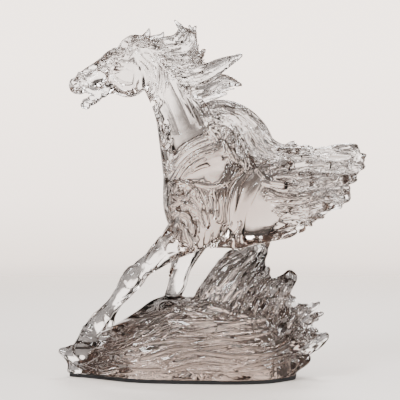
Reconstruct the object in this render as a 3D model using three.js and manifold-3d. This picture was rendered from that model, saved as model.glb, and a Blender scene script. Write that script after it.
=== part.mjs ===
// A clear cast-crystal figurine: the front half of a running horse whose hindquarters
// break up into streaks, standing on a breaking wave, on a thin dark pad.
// Millimetres, +Z up. The horse gallops towards -X; the origin is the middle of the
// pad's underside.
import * as THREE from "three";
import { mergeVertices } from "three/addons/utils/BufferGeometryUtils.js";
import Module from "manifold-3d";

const wasm = await Module();
wasm.setup();

// Driving dimensions.
const PAD_THICKNESS = 3;
const GLUE_GAP = 0.3;
const FOOT_Z = PAD_THICKNESS + GLUE_GAP;
const SKULL_HALF_WIDTH = 13;
const CHEST_HALF_WIDTH = 30;
const BARREL_HALF_WIDTH = 36;
const SHOULDER_Y = 23;
const NEAR_KNEE_Y = -17;
const NEAR_HOOF_Y = -7;
const FAR_LEG_Y = 19;

// The outline of the foot: how far it reaches to each side of the middle, along X.
const FOOTPRINT = [
  [-113, 4],
  [-98, 11],
  [-82, 21],
  [-62, 35],
  [-36, 47],
  [4, 52],
  [42, 55],
  [68, 53],
  [84, 48],
  [97, 37],
  [110, 22],
];

// Repeatable variation between 0 and 1.
function vary(seed) {
  const value = Math.sin(seed * 12.9898) * 43758.5453;
  return value - Math.floor(value);
}

const lerp = (a, b, t) => a.map((value, k) => value + (b[k] - value) * t);
const bothSides = (make) => [-1, 1].flatMap((side) => make(side));

// A station is [x, y, z, tall, wide]: a point of a form's middle line, its half size
// in the upright plane and its half size across. Between stations every value follows
// a Catmull-Rom curve.
function catmullRom(stations, t) {
  const last = stations.length - 1;
  const place = Math.min(t * last, last - 1e-9);
  const i = Math.floor(place);
  const u = place - i;
  const [p0, p1, p2, p3] = [i - 1, i, i + 1, i + 2].map((k) => stations[Math.min(Math.max(k, 0), last)]);
  return p1.map((_, k) => {
    const [a, b, c, d] = [p0[k], p1[k], p2[k], p3[k]];
    const [slope, bend, twist] = [c - a, 2 * a - 5 * b + 4 * c - d, 3 * b - a - 3 * c + d];
    return b + 0.5 * (slope * u + bend * u ** 2 + twist * u ** 3);
  });
}

// Rings of a rounded end, as shares of the end's radius: how far out, how wide.
const ROUND_END = [
  [0.5, 0.84],
  [0.85, 0.5],
];
const BLUNT_END = [[0.45, 0.65]];
const FLAT_END = [];

// A closed skin of elliptical rings round the stations' curve. A groove pulls every
// second line of points in, so that the skin runs in ridges; a sweep leads the ridges
// up both flanks; a ragged end lets each ridge stop at a length of its own.
function limb(stations, options = {}) {
  const { sides = 12, steps = 12, start = ROUND_END, end = ROUND_END } = options;
  const { groove = 0, sweep = 0, ragged = 0 } = options;
  const rows = Array.from({ length: steps + 1 }, (_, i) => catmullRom(stations, i / steps));
  const middles = rows.map(([x, y, z]) => new THREE.Vector3(x, y, z));
  const tangents = rows.map((_, i) =>
    middles[Math.min(i + 1, steps)].clone().sub(middles[Math.max(i - 1, 0)]).normalize(),
  );
  const capRings = (i, outward, profile) =>
    profile.map(([out, width]) => {
      const reach = Math.min(rows[i][3], rows[i][4]) * out * outward;
      return [middles[i].clone().addScaledVector(tangents[i], reach), i, width];
    });
  const rings = [
    ...capRings(0, -1, start).reverse(),
    ...middles.map((middle, i) => [middle, i, 1]),
    ...capRings(steps, 1, end),
  ];

  const points = rings.flatMap(([middle, i, width]) => {
    const across = new THREE.Vector3(0, 1, 0).addScaledVector(tangents[i], -tangents[i].y).normalize();
    const up = new THREE.Vector3().crossVectors(tangents[i], across);
    const [tall, wide] = [rows[i][3] * width, rows[i][4] * width];
    return Array.from({ length: sides }, (_, k) => {
      const even = (2 * Math.PI * k) / sides;
      const angle = even - sweep * (i / steps - 0.5) * Math.sin(even);
      const depth = k % 2 ? 1 - groove : 1;
      const late = ragged * Math.max(2 * (i / steps) - 1, 0) * (vary(k + stations[0][0]) - 0.5);
      return middle
        .clone()
        .addScaledVector(up, tall * depth * Math.cos(angle))
        .addScaledVector(across, wide * depth * Math.sin(angle))
        .addScaledVector(tangents[i], late);
    });
  });
  const poles = [
    [rings[0][0], 0, start.length ? -0.15 : 0],
    [rings.at(-1)[0], steps, end.length ? 0.15 : 0],
  ].map(([middle, i, out]) => {
    const radius = Math.min(rows[i][3], rows[i][4]);
    return middle.clone().addScaledVector(tangents[i], out * radius);
  });
  const [startPole, endPole] = poles.map((pole) => points.push(pole) - 1);

  const faces = [];
  const rim = (rings.length - 1) * sides;
  for (let k = 0; k < sides; k++) {
    const next = (k + 1) % sides;
    faces.push(startPole, k, next);
    for (let r = 0; r < rim; r += sides) {
      const [a, b, c, d] = [r + k, r + next, r + sides + k, r + sides + next];
      faces.push(a, c, b, b, c, d);
    }
    faces.push(endPole, rim + next, rim + k);
  }
  return new THREE.BufferGeometry().setFromPoints(points).setIndex(faces);
}

// An ellipsoid round a centre, for round muscles and bones.
function ball([x, y, z], [rx, ry, rz], detail = 10) {
  return new THREE.SphereGeometry(1, detail, Math.round(detail * 0.6)).scale(rx, ry, rz).translate(x, y, z);
}

function solid(geometry) {
  const bare = geometry.clone();
  bare.deleteAttribute("normal");
  bare.deleteAttribute("uv");
  const merged = mergeVertices(bare, 1e-4);
  const vertProperties = merged.attributes.position.array;
  const triVerts = new Uint32Array(merged.index.array);
  return new wasm.Manifold(new wasm.Mesh({ numProp: 3, vertProperties, triVerts }));
}

// Head: the skull, the round jowls, the open jaw with its teeth, brows, eyes, nostrils
// and ears.
function head() {
  const wide = SKULL_HALF_WIDTH;
  const skull = [
    [-32, 0, 325, 13, wide - 2],
    [-48, 0, 318, 17, wide],
    [-66, 0, 311, 16, wide],
    [-84, 0, 302, 12.5, wide - 3.5],
    [-98, 0, 295, 10, wide - 4.5],
    [-106, 0, 290, 9.5, wide - 4.5],
  ];
  const lowerJaw = [
    [-66, 0, 291, 9, 9],
    [-76, 0, 288, 6.5, 8],
    [-84, 0, 282, 5.2, 6],
    [-91, 0, 276.5, 4.8, 5],
    [-97.5, 0, 271.5, 4, 4.5],
  ];
  const teeth = [
    [-99, 0, 286, 3.5, 5],
    [-88, 0, 285, 4.5, 6],
    [-78, 0, 287, 5, 7],
  ];
  return [
    limb(skull, { steps: 10, sides: 12 }),
    limb(lowerJaw, { steps: 6, sides: 6, end: BLUNT_END }),
    limb(teeth, { steps: 2, sides: 6, start: BLUNT_END, end: FLAT_END }),
    ...bothSides((side) => [
      ball([-55.5, side * 5, 299], [20, 9, 20], 10),
      limb(brow(side), { steps: 2, sides: 6, start: BLUNT_END, end: BLUNT_END }),
      ball([-69, side * (wide - 1.5), 316.5], [4, 3, 3.5], 6),
      limb(nostril(side), { steps: 2, sides: 6, start: FLAT_END, end: BLUNT_END }),
      limb(ear(side), { steps: 3, sides: 6, start: FLAT_END, end: FLAT_END }),
    ]),
  ];
}

const brow = (side) => [
  [-58, side * 11, 322, 3, 3],
  [-69, side * 12, 322, 3.5, 3],
  [-80, side * 9, 316, 2.5, 2.5],
];

const nostril = (side) => [
  [-96, side * 5, 296, 3, 3],
  [-103, side * 7, 297, 4, 3],
  [-108, side * 6, 293, 3, 3],
];

// The near ear stands upright, the far ear leans back.
const ear = (side) => {
  const lean = 6 + 6 * side;
  return [
    [-40, side * 8, 327, 3.5, 3],
    [-38, side * 10, 335, 5, 3],
    [-35 + lean, side * 11, 341, 3, 2],
    [-34 + 1.1 * lean, side * 11, 345.5, 1, 1],
  ];
};

function forelock() {
  const curls = [
    { path: [[-38, 335], [-48, 339], [-58, 337], [-62, 330]], y: -3 },
    { path: [[-40, 334], [-50, 336], [-57, 331], [-58, 323]], y: 5 },
  ];
  const poll = ball([-53, 0, 330], [10.5, 9, 8], 6);
  return [poll, ...curls.map(({ path, y }) => lock(path, y, 5.5, { wide: 0.9, tip: 0.5, sides: 6 }))];
}

// A lock of hair along a path of [x, z] points: full near its root, narrow at its tip,
// with its own bend sideways.
function lock(path, y, radius, { wide = 0.8, tip = 0.2, bend = 0, sides = 8, groove = 0.25 } = {}) {
  const last = path.length - 1;
  const stations = path.map(([x, z], k) => {
    const s = k / last;
    const size = radius * (0.85 + 0.6 * s * (1 - s)) * (1 - (1 - tip) * s * s);
    return [x, y + bend * s * s, z, size, size * wide];
  });
  return limb(stations, { sides, groove, steps: Math.ceil(1.3 * last), start: FLAT_END, end: BLUNT_END });
}

// Mane: flames of hair that leave the crest of the neck, from the poll to the withers.
const MANE = [
  {
    path: [[-36, 331], [-19, 334], [-8, 337], [-2, 346], [-8, 355]],
    radius: 6.5,
    y: 0,
    tip: 0.35,
    sides: 6,
  },
  { path: [[-34, 325], [-12, 325], [4, 330], [9, 342], [6, 351]], radius: 11, y: 3, bend: 3, sides: 6 },
  { path: [[-26, 317], [-4, 314], [12, 317], [21, 325]], radius: 12, y: -3, bend: -5, sides: 6 },
  { path: [[-22, 312], [-4, 322], [8, 333], [12, 349]], radius: 9, y: -4, bend: -4, sides: 6 },
  { path: [[-14, 300], [8, 304], [25, 313]], radius: 10, y: 6, bend: 6, sides: 6 },
  { path: [[-10, 290], [14, 298], [37, 311], [58, 320]], radius: 13, y: 0, bend: 3 },
  { path: [[-4, 282], [20, 286], [40, 295], [57, 289]], radius: 11, y: -4, bend: -5 },
  { path: [[6, 272], [26, 280], [44, 284]], radius: 8, y: 7, bend: 8, sides: 6 },
  {
    path: [[12, 260], [38, 265], [58, 259], [74, 246], [86, 229], [98, 224], [112, 231]],
    radius: 13,
    y: 0,
    tip: 0.3,
  },
  {
    path: [[22, 252], [46, 252], [64, 238], [80, 222], [100, 216]],
    radius: 14,
    y: -9,
    bend: -8,
    wide: 0.9,
  },
  {
    path: [[22, 252], [46, 255], [66, 243], [84, 227], [102, 221]],
    radius: 13,
    y: 10,
    bend: 10,
    wide: 0.9,
  },
  {
    path: [[28, 244], [44, 238], [56, 220], [66, 206], [72, 192]],
    radius: 11,
    y: -18,
    bend: -14,
    sides: 6,
  },
  { path: [[28, 244], [44, 238], [58, 220], [72, 206]], radius: 11, y: 18, bend: 12, sides: 6 },
  { path: [[26, 242], [36, 228], [44, 212], [42, 196]], radius: 8, y: -22, bend: -12, sides: 6 },
];

const mane = () => MANE.map(({ path, radius, y, ...shape }) => lock(path, y, radius, shape));

function neck() {
  const column = [
    [-36, 0, 314, 16, 11],
    [-22, 0, 292, 18.5, 12.5],
    [-8, 0, 268, 22.5, 15],
    [5, 0, 241, 31, 21],
    [16, 0, 211, 38, 27],
    [24, 0, 182, 42, CHEST_HALF_WIDTH],
  ];
  return [limb(column, { steps: 7, sides: 12, groove: 0.02 })];
}

// Barrel: full behind the shoulder, flattening backwards into a ragged fan.
function barrel() {
  const wide = BARREL_HALF_WIDTH;
  const trunk = [
    [6, 0, 175, 42, CHEST_HALF_WIDTH],
    [32, 0, 174, 46, wide - 1],
    [62, 0, 175, 46, wide],
    [87, 0, 180, 43, wide - 5],
    [107, 0, 185, 35, wide - 12],
    [127, 0, 190, 28, wide - 18],
    [147, 0, 199, 20, wide - 23],
    [164, 0, 209, 12, wide - 27],
  ];
  return [limb(trunk, { steps: 9, sides: 16, end: BLUNT_END })];
}

// The streaks that the hindquarters break into: they leave the flank along one line
// and stop one after another, from the top of the fan to the bottom.
const STREAK_ROOTS = { top: [94, 214], bottom: [66, 139], wide: 21 };
const STREAK_ENDS = [
  [176, 223],
  [178, 211],
  [172, 200],
  [162, 189],
  [156, 177],
  [140, 169],
  [128, 156],
  [106, 143],
];
const STREAK_LAYERS = [-1, 0, 1];

function streaks() {
  const { top, bottom, wide } = STREAK_ROOTS;
  const last = STREAK_ENDS.length - 1;
  return STREAK_ENDS.flatMap((end, row) =>
    STREAK_LAYERS.filter((layer) => layer || row % 3 === 0).map((layer) => {
      const seed = row * 3 + layer;
      const share = row / last;
      const [x, z] = lerp(top, bottom, share);
      const bulge = Math.sqrt(1 - (2 * share - 1) ** 2 * 0.8);
      const [tipX, tipZ] = lerp([x, z], end, 1 - 0.13 * Math.abs(layer) * vary(seed));
      const y = layer * wide * bulge;
      const stations = [
        [x, y, z, 5, 4],
        [x + 0.45 * (tipX - x), y * 0.95, z + 0.45 * (tipZ - z), 7.5, 5.5],
        [tipX, y * 0.45, tipZ, 4, 3.5],
      ];
      return limb(stations, { sides: 5, steps: 2, start: FLAT_END, end: BLUNT_END });
    }),
  );
}

function shoulders() {
  return bothSides((side) => {
    const scapula = [
      [38, side * (SHOULDER_Y - 5), 226, 13, 10],
      [20, side * (SHOULDER_Y - 1), 202, 19, 13],
      [3, side * SHOULDER_Y, 174, 20, 14],
    ];
    const upperArm = [
      [2, side * SHOULDER_Y, 172, 18, 14],
      [20, side * (SHOULDER_Y + 1), 146, 15, 12],
    ];
    return [
      limb(scapula, { steps: 4, sides: 8 }),
      limb(upperArm, { steps: 2, sides: 8 }),
      ball([-4, side * 12, 172], [14, 15, 22], 8),
    ];
  });
}

// The near foreleg reaches forward and down to the hoof on the wave.
function nearForeleg() {
  const knee = NEAR_KNEE_Y;
  const hoof = NEAR_HOOF_Y;
  const leg = [
    [12, -22, 148, 23, 16],
    [-9, -22, 134, 16.5, 14],
    [-28, -20, 118, 11.5, 10],
    [-40, knee - 1, 108, 10, 9],
    [-50.5, knee, 98, 12, 10.5],
    [-58.5, knee + 2, 87, 9.5, 8.5],
    [-68.5, hoof - 5, 73, 7.8, 7],
    [-80.5, hoof - 2, 59, 10.5, 9],
    [-89.5, hoof - 1, 49, 9.5, 8],
    [-93, hoof, 45, 9.5, 8.5],
  ];
  const wall = [
    [-94, hoof, 46, 10, 9],
    [-98, hoof, 26, 14, 12],
  ];
  const ergot = [
    [-73, hoof - 2, 56, 5, 5],
    [-69, hoof - 2, 47, 1.5, 1.5],
  ];
  return [
    limb(leg, { steps: 12, sides: 10 }),
    limb(wall, { steps: 1, sides: 12, start: FLAT_END, end: FLAT_END }),
    limb(ergot, { steps: 2, sides: 6, end: FLAT_END }),
  ];
}

// The far foreleg is folded back and comes down behind the crest of the wave.
function farForeleg() {
  const y = FAR_LEG_Y;
  const leg = [
    [14, y, 146, 19, 14],
    [4, y, 123, 13, 12],
    [-3, y - 1, 107, 10.5, 10],
    [-7, y - 2, 91, 10, 9],
    [-12, y - 4, 76, 8, 8],
    [-15, y - 6, 60, 8, 8],
  ];
  return [limb(leg, { steps: 7, sides: 8 })];
}

// The wave: a long mound in ridges, whose sides meet the foot along its outline.
function wave() {
  // [tall, middle height] of the mound over each point of the foot's outline.
  const profile = [
    [15, 15],
    [17, 14],
    [20, 15],
    [33, 15],
    [46, 16],
    [54, 16],
    [56, 16],
    [50, 16],
    [44, 16],
    [34, 16],
    [12, 11],
  ];
  const mound = FOOTPRINT.map(([x, halfDepth], i) => {
    const [tall, z] = profile[i];
    return [x, 0, z, tall, halfDepth / Math.sqrt(1 - ((z - FOOT_Z) / tall) ** 2)];
  });
  const crest = [
    [-90, -2, 30, 7, 11],
    [-66, 2, 40, 10, 15],
    [-42, 8, 52, 12, 18],
    [-20, 12, 66, 12, 15],
    [-8, 14, 70, 10, 12],
    [14, 8, 60, 15, 18],
  ];
  const nose = [
    [-108, 0, 20, 10, 10],
    [-121, 0, 25, 4, 5],
  ];
  return [
    limb(mound, { steps: 10, sides: 24, groove: 0.08, sweep: 0.9, end: BLUNT_END }),
    limb(crest, { steps: 6, sides: 8, groove: 0.1 }),
    limb(nose, { steps: 2, sides: 8 }),
  ];
}

// Splash: plumes of water that rise out of the wave and lean back. Each goes from a
// broad root by a middle to its tip, all as [x, y, z, half thickness].
const PLUMES = [
  { root: [42, 2, 48, 36], by: [50, 0, 90, 29], to: [79, -2, 140, 9], wide: 0.85, sides: 12 },
  { root: [56, 0, 60, 20], by: [70, 0, 90, 14], to: [83, 0, 106, 5], wide: 0.8, sides: 8 },
  { root: [62, -8, 46, 30], by: [89, -9, 81, 15], to: [106, -12, 100, 7], wide: 0.95, sides: 8 },
  { root: [74, 12, 40, 22], by: [98, 16, 66, 10], to: [107, 18, 78, 4.5], wide: 0.9 },
  { root: [80, -16, 36, 20], by: [104, -18, 60, 10], to: [121, -19, 70, 4.5], wide: 0.9, sides: 8 },
  { root: [88, 8, 36, 18], by: [118, 8, 60, 7], to: [136, 8, 72, 2.5], wide: 0.9 },
  { root: [88, -6, 32, 18], by: [118, -8, 54, 7], to: [137, -9, 64, 1.5], wide: 0.9 },
  { root: [92, -20, 26, 17], by: [112, -24, 40, 10], to: [127, -26, 48, 4], wide: 0.8 },
  { root: [98, 2, 20, 15], by: [124, 2, 30, 9.5], to: [141, 2, 39, 5], wide: 0.9 },
  { root: [96, -16, 14, 12], by: [114, -18, 18, 8], to: [122, -18, 21, 4], wide: 0.9 },
  { root: [52, 26, 40, 20], by: [66, 32, 66, 12], to: [84, 35, 86, 4], wide: 0.8 },
  { root: [86, 26, 28, 18], by: [106, 30, 42, 10], to: [124, 32, 52, 4], wide: 0.8 },
];

function splash() {
  return PLUMES.map(({ root, by, to, wide, sides = 6 }) => {
    const stations = [root, by, to].map(([x, y, z, size]) => [x, y, z, size, size * wide]);
    return limb(stations, { sides, steps: 4, groove: 0.2, start: FLAT_END, end: BLUNT_END, ragged: 6 });
  });
}

// The faces of the outer skin alone: pockets left between crossing forms are filled.
function outerSkin(faces, vertexCount) {
  const parent = Array.from({ length: vertexCount }, (_, i) => i);
  const rootOf = (i) => {
    while (parent[i] !== i) i = parent[i] = parent[parent[i]];
    return i;
  };
  for (let f = 0; f < faces.length; f += 3) {
    parent[rootOf(faces[f])] = rootOf(faces[f + 1]);
    parent[rootOf(faces[f + 1])] = rootOf(faces[f + 2]);
  }
  const sizes = new Map();
  faces.forEach((i) => sizes.set(rootOf(i), (sizes.get(rootOf(i)) ?? 0) + 1));
  const [largest] = [...sizes].sort((a, b) => b[1] - a[1])[0];
  return faces.filter((i) => rootOf(i) === largest);
}

// Everything that is cast in one, cut flat where it stands on the pad.
function casting() {
  const forms = [
    head(),
    forelock(),
    mane(),
    neck(),
    barrel(),
    streaks(),
    shoulders(),
    nearForeleg(),
    farForeleg(),
    wave(),
    splash(),
  ].flat();
  const below = new THREE.BoxGeometry(600, 400, 200).translate(0, 0, FOOT_Z - 100);
  const joined = forms.map(solid).reduce((all, form) => all.add(form));
  const { vertProperties, triVerts } = joined.subtract(solid(below)).getMesh();
  const geometry = new THREE.BufferGeometry();
  geometry.setAttribute("position", new THREE.BufferAttribute(vertProperties, 3));
  geometry.setIndex(new THREE.BufferAttribute(outerSkin(triVerts, vertProperties.length / 3), 1));
  geometry.computeVertexNormals();
  return geometry;
}

// The pad follows the outline of the foot.
function pad() {
  const near = FOOTPRINT.map(([x, halfDepth]) => new THREE.Vector3(x, -halfDepth, 0));
  const far = near.map(({ x, y }) => new THREE.Vector3(x, -y, 0)).reverse();
  const outline = new THREE.CatmullRomCurve3([...near, ...far], true, "centripetal").getPoints(44).slice(1);
  const shape = new THREE.Shape(outline.map(({ x, y }) => new THREE.Vector2(x, y)));
  return new THREE.ExtrudeGeometry(shape, { depth: PAD_THICKNESS, bevelEnabled: false });
}

const crystal = new THREE.MeshStandardMaterial({
  color: 0xe9e4df,
  roughness: 0.03,
  transparent: true,
  opacity: 0.35,
});
const blackPad = new THREE.MeshStandardMaterial({ color: 0x0c0c0d, roughness: 0.85 });

const figurine = new THREE.Group();
const horse = new THREE.Mesh(casting(), crystal);
horse.name = "horse_on_wave";
const foot = new THREE.Mesh(pad(), blackPad);
foot.name = "base_pad";
figurine.add(horse, foot);

export default figurine;
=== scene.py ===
import math

import bpy
import numpy as np
import openvdb
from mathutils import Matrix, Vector


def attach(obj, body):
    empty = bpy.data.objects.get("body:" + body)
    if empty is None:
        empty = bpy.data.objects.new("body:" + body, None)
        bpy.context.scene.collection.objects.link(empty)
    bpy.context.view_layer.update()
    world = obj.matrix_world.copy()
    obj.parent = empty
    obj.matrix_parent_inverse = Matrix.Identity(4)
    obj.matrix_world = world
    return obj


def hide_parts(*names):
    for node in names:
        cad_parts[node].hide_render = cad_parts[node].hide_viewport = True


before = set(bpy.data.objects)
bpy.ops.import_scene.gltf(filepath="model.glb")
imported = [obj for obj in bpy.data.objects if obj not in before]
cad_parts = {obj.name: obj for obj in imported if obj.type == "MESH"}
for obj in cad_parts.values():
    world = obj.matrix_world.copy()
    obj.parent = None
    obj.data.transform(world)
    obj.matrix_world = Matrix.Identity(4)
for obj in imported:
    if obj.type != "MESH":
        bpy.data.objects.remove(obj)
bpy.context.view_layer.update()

# All modelling below is in millimetres, in the frame's own axes: the horse gallops
# towards -X, +Z is up and -Y is the side nearest the camera.
MM = 0.001

# The glass is modelled as a distance field in a block of space: its corners, the step
# between its samples, the distance in empty space, and the triangles of the mesh made of it.
SPACE = [-132, -66, 0], [190, 66, 362]
VOXEL = 1.0
FAR = 40.0
TRIANGLES = 190000

PAD_THICKNESS = 3.0
GLUE_GAP = 0.6
FOOT_Z = PAD_THICKNESS + GLUE_GAP
SKULL_HALF_WIDTH = 13
CHEST_HALF_WIDTH = 30
BARREL_HALF_WIDTH = 36
SHOULDER_Y = 23
NEAR_KNEE_Y = -17
NEAR_HOOF_Y = -7
FAR_LEG_Y = 19
SIDES = (-1, 1)

# The camera sees pale paper and a plain backdrop. All other rays, so also those that leave
# the glass, meet dark paper and the studio's screens and flags.
PAPER_SEEN = (0.73, 0.68, 0.64, 1)
PAPER_OTHERWISE = (0.08, 0.073, 0.07, 1)
BACKDROP_TINT = (0.98, 0.84, 0.745, 1)
SCREEN_TINT = (0.95, 0.88, 0.83, 1)
STUDIO_LIGHT = 4.2

GLASS_IOR = 1.5
GLASS_TINT = (0.67, 0.613, 0.58, 1)
GLASS_DENSITY = 38

CAMERA_PLACE = (0.0165, -1.15, 0.176)
CAMERA_LENS = 103.5


def vary(seed):
    """Repeatable variation between 0 and 1."""
    value = math.sin(seed * 12.9898) * 43758.5453
    return value - math.floor(value)


def catmull_rom(stations, count):
    """Rows of [x, y, z, tall, wide] at count + 1 even steps along the stations."""
    points = np.array(stations, float)
    last = len(points) - 1
    rows = []
    for step in range(count + 1):
        place = min(step / count * last, last - 1e-9)
        i = int(place)
        u = place - i
        a, b, c, d = (points[min(max(k, 0), last)] for k in (i - 1, i, i + 1, i + 2))
        square = (2 * a - 5 * b + 4 * c - d) * u * u
        cube = (3 * b - a - 3 * c + d) * u**3
        rows.append(0.5 * (2 * b + (c - a) * u + square + cube))
    return np.array(rows)


LATTICE = np.random.default_rng(11).uniform(-1, 1, (32, 32, 32)).astype(np.float32)


def noise(x, y, z):
    """Smooth repeatable noise between -1 and 1, one grain to a unit."""
    floors = [np.floor(a) for a in (x, y, z)]
    shares = [a - b for a, b in zip((x, y, z), floors)]
    shares = [a * a * (3 - 2 * a) for a in shares]
    cells = [a.astype(int) for a in floors]
    total = 0
    for corner in np.ndindex(2, 2, 2):
        weight = 1
        for share, far in zip(shares, corner):
            weight = weight * (share if far else 1 - share)
        total = total + weight * LATTICE[tuple((cell + far) % 32 for cell, far in zip(cells, corner))]
    return total


class Casting:
    """A block of space that holds, at every VOXEL millimetres, the distance to the glass skin."""

    def __init__(self, low, high):
        self.low = np.array(low, float)
        self.shape = tuple(int((b - a) / VOXEL) + 1 for a, b in zip(low, high))
        self.field = np.full(self.shape, FAR, np.float32)

    def window(self, low, high):
        """The slices of the block between two corners, and the coordinates in them."""
        start = np.clip(((np.array(low) - self.low) / VOXEL).astype(int), 0, np.array(self.shape) - 1)
        stop = np.clip(((np.array(high) - self.low) / VOXEL).astype(int) + 2, 1, np.array(self.shape))
        where = tuple(slice(a, b) for a, b in zip(start, stop))
        axes = [(self.low[k] + VOXEL * np.arange(start[k], stop[k])).astype(np.float32) for k in range(3)]
        return where, (axes[0][:, None, None], axes[1][None, :, None], axes[2][None, None, :])

    def blend(self, where, distance, soft, carve):
        """Joins a form to the block, or carves it out, with a soft seam."""
        old = self.field[where]
        new = -distance if carve else distance
        overlap = np.maximum(soft - np.abs(old - new), 0) / max(soft, 1e-6)
        fillet = overlap * overlap * soft * 0.25
        self.field[where] = np.maximum(old, new) + fillet if carve else np.minimum(old, new) - fillet

    def limb(
        self,
        stations,
        soft=3.0,
        ridges=0,
        depth=0.0,
        wave=0.0,
        phase=0.0,
        end=1.0,
        carve=False,
        count=None,
    ):
        """Sweeps an ellipse along [x, y, z, tall, wide] stations. Its ends are round for end=1
        and flatter below that. Ridges run along it, as deep as depth, and wave makes them
        snake. The sweep has count straight steps."""
        if count is None:
            count = max(6, 4 * (len(stations) - 1))
        rows = catmull_rom(stations, count)
        sizes = rows[:, 3:5].max(axis=1)
        margins = (np.maximum(sizes[:-1], sizes[1:]) + soft + depth + 2 * VOXEL)[:, None]
        lows = np.minimum(rows[:-1, :3], rows[1:, :3]) - margins
        highs = np.maximum(rows[:-1, :3], rows[1:, :3]) + margins
        where, _ = self.window(lows.min(axis=0), highs.max(axis=0))
        form = np.full(self.field[where].shape, FAR, np.float32)
        corner = np.array([s.start for s in where])
        for i in range(count):
            near, far = rows[i], rows[i + 1]
            along = far[:3] - near[:3]
            length = np.linalg.norm(along)
            if length < 1e-6:
                continue
            tangent = along / length
            across = np.array([0.0, 1.0, 0.0]) - tangent * tangent[1]
            across /= np.linalg.norm(across)
            up = np.cross(tangent, across)
            part, (x, y, z) = self.window(lows[i], highs[i])
            rx, ry, rz = x - near[0], y - near[1], z - near[2]
            lengthways = rx * tangent[0] + ry * tangent[1] + rz * tangent[2]
            t = np.clip(lengthways / length, 0, 1)
            u = rx * up[0] + ry * up[1] + rz * up[2]
            v = rx * across[0] + ry * across[1] + rz * across[2]
            w = lengthways - t * length
            tall = near[3] + (far[3] - near[3]) * t
            wide = near[4] + (far[4] - near[4]) * t
            cap = end * np.minimum(tall, wide)
            q = np.sqrt((u / tall) ** 2 + (v / wide) ** 2 + (w / cap) ** 2)
            g = np.sqrt((u / tall**2) ** 2 + (v / wide**2) ** 2 + (w / cap**2) ** 2)
            distance = q * (q - 1) / np.maximum(g, 1e-4)
            if ridges:
                angle = np.arctan2(v / wide, u / tall)
                turn = ridges * angle + wave * np.sin(9 * (i + t) / count + 2 * angle + phase) + phase
                distance = distance - depth * (np.abs(np.cos(turn / 2)) - 0.64)
            inner = tuple(slice(a.start - c, a.stop - c) for a, c in zip(part, corner))
            form[inner] = np.minimum(form[inner], distance.astype(np.float32))
        self.blend(where, form, soft, carve)

    def ball(self, centre, radii, soft=3.0, carve=False):
        """Joins or carves an ellipsoid."""
        centre, radii = np.array(centre, float), np.array(radii, float)
        reach = radii + soft + 2 * VOXEL
        where, (x, y, z) = self.window(centre - reach, centre + reach)
        u, v, w = x - centre[0], y - centre[1], z - centre[2]
        q = np.sqrt((u / radii[0]) ** 2 + (v / radii[1]) ** 2 + (w / radii[2]) ** 2)
        g = np.sqrt((u / radii[0] ** 2) ** 2 + (v / radii[1] ** 2) ** 2 + (w / radii[2] ** 2) ** 2)
        self.blend(where, (q * (q - 1) / np.maximum(g, 1e-4)).astype(np.float32), soft, carve)

    def grain(self, low, high, flow, length, breadth, depth, snake=0, fade=8):
        """Breaks the skin in a box up into ridges that run along the flow, an [x, z] direction."""
        where, axes = self.window(low, high)
        field = self.field[where]
        near = np.abs(field) < 2 * depth + 2
        x, y, z = (np.broadcast_to(a, field.shape)[near] for a in axes)
        inside = 1
        for value, a, b in zip((x, y, z), low, high):
            inside = inside * np.clip(np.minimum(value - a, b - value) / fade, 0, 1)
        size = math.hypot(*flow)
        along = (x * flow[0] + z * flow[1]) / size
        over = (z * flow[0] - x * flow[1]) / size
        over = over + snake * noise(along / (1.6 * length), y / (4 * breadth), over / (5 * breadth))
        ridge = np.abs(noise(along / length, y / breadth, over / breadth))
        field[near] -= depth * inside * (2.4 * ridge - 1)

    def melt(self, rounds):
        """Rounds seams and edges off, as the fire polish does."""
        field = np.clip(self.field, -FAR / 4, FAR / 4)
        for axis in [0, 1, 2] * rounds:
            field = 0.5 * field + 0.25 * (np.roll(field, 1, axis) + np.roll(field, -1, axis))
        self.field = field

    def skin(self, x, z, side):
        """The y of the skin at a point of the side view, on the near or the far side. None
        outside the figure's outline."""
        i = int(round((x - self.low[0]) / VOXEL))
        k = int(round((z - self.low[2]) / VOXEL))
        column = self.field[i, :, k][::-side]
        inside = np.flatnonzero(column < 0)
        if not len(inside) or not inside[0]:
            return None
        j = inside[0]
        edge = j - column[j] / (column[j] - column[j - 1])
        return side * (-self.low[1] - edge * VOXEL)

    def trace(self, path, radius, carve=False, sides=SIDES, soft=1.5, out=0.1):
        """Raises a rib or cuts a groove along [x, z] points, on the skin of the given sides. It
        is radius thick half way and thinner towards its ends, and out is how far it stands off
        the skin, as a share of its thickness."""
        rows = catmull_rom([[x, 0, z, 1, 1] for x, z in path], 4 * (len(path) - 1))
        for side in sides:
            stations = []
            for k, (x, _, z, _, _) in enumerate(rows):
                s = k / (len(rows) - 1)
                size = radius * (0.45 + 2.2 * s * (1 - s))
                y = self.skin(x, z, side)
                if y is not None:
                    stations.append([x, y + side * out * size, z, size, size])
            if len(stations) < 3:
                continue
            heights = np.array([station[1] for station in stations])
            heights[1:-1] = (heights[:-2] + heights[1:-1] + heights[2:]) / 3
            for station, y in zip(stations, heights):
                station[1] = y
            self.limb(stations, soft=soft, carve=carve, count=len(stations) - 1)

    def cut_below(self, level):
        """Cuts the block off flat at a height."""
        z = (self.low[2] + VOXEL * np.arange(self.shape[2])).astype(np.float32)
        self.field = np.maximum(self.field, (level - z)[None, None, :])

    def sample(self, places):
        """The field at places given in voxels, smoothly between them."""
        cell = np.clip(np.floor(places).astype(int), 0, np.array(self.shape) - 2)
        share = places - cell
        total = 0
        for corner in np.ndindex(2, 2, 2):
            weight = np.prod(np.where(corner, share, 1 - share), axis=1)
            total = total + weight * self.field[tuple((cell + corner).T)]
        return total

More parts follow.
